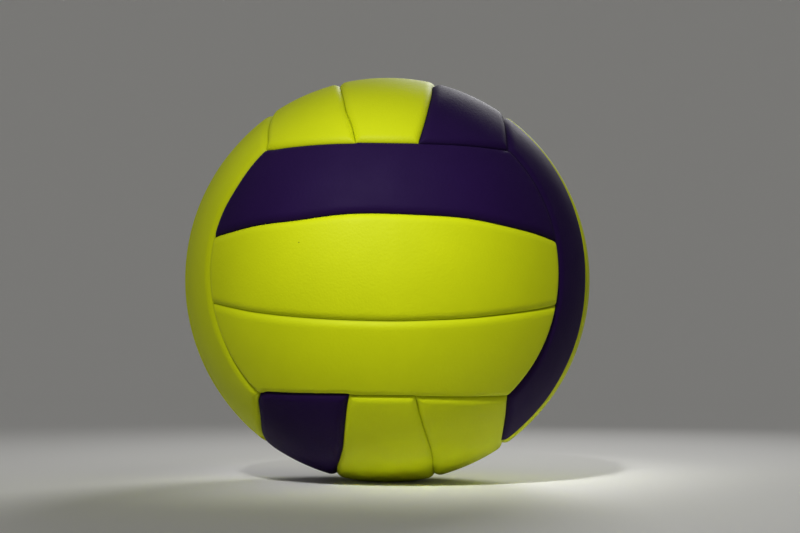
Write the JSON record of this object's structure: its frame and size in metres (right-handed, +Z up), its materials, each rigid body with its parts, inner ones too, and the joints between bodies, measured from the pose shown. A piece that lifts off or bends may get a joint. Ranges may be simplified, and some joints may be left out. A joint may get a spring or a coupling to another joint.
{
  "type": "volleyball",
  "caption": "Round volleyball with padded synthetic-leather panels in interlocking faces of parallel strips over a lining, winding and air bladder, with a pull-out needle valve core.",
  "frame": {"origin": "the centre of the ball", "axes": "+Z up from the flat that the ball rests on, -Y towards the viewer of the picture, +Y out of the valve"},
  "size_m": [0.1986, 0.1986, 0.1986],
  "materials": {
    "cover_yellow": "soft semi-matte synthetic leather",
    "cover_violet": "soft semi-matte synthetic leather",
    "foam": "matt closed-cell foam",
    "lining": "matt rubberised cloth",
    "thread": "wound nylon thread",
    "butyl": "smooth butyl rubber",
    "valve_rubber": "moulded rubber",
    "core_rubber": "moulded rubber"
  },
  "bodies": {
    "ball": {"front_upper_cover": "cover_violet", "front_upper_pad": "foam", "front_middle_cover": "cover_yellow", "front_middle_pad": "foam", "front_lower_cover": "cover_yellow", "front_lower_pad": "foam", "back_upper_cover": "cover_yellow", "back_upper_pad": "foam", "back_middle_cover": "cover_yellow", "back_middle_pad": "foam", "back_lower_cover": "cover_violet", "back_lower_pad": "foam", "top_right_cover": "cover_violet", "top_right_pad": "foam", "top_middle_cover": "cover_yellow", "top_middle_pad": "foam", "top_left_cover": "cover_yellow", "top_left_pad": "foam", "bottom_right_cover": "cover_yellow", "bottom_right_pad": "foam", "bottom_middle_cover": "cover_yellow", "bottom_middle_pad": "foam", "bottom_left_cover": "cover_violet", "bottom_left_pad": "foam", "right_front_cover": "cover_violet", "right_front_pad": "foam", "right_middle_cover": "cover_yellow", "right_middle_pad": "foam", "right_rear_cover": "cover_yellow", "right_rear_pad": "foam", "left_front_cover": "cover_yellow", "left_front_pad": "foam", "left_middle_cover": "cover_yellow", "left_middle_pad": "foam", "left_rear_cover": "cover_violet", "left_rear_pad": "foam", "lining": "lining", "thread_winding": "thread", "bladder": "butyl", "valve_housing": "valve_rubber"},
    "valve_core": {"valve_core": "core_rubber"}
  },
  "joints": [
    {"name": "valve_core_pull", "type": "slide", "parent": "ball", "child": "valve_core", "axis": [0, 1, 0], "range_m": [0, 0.02]}
  ]
}
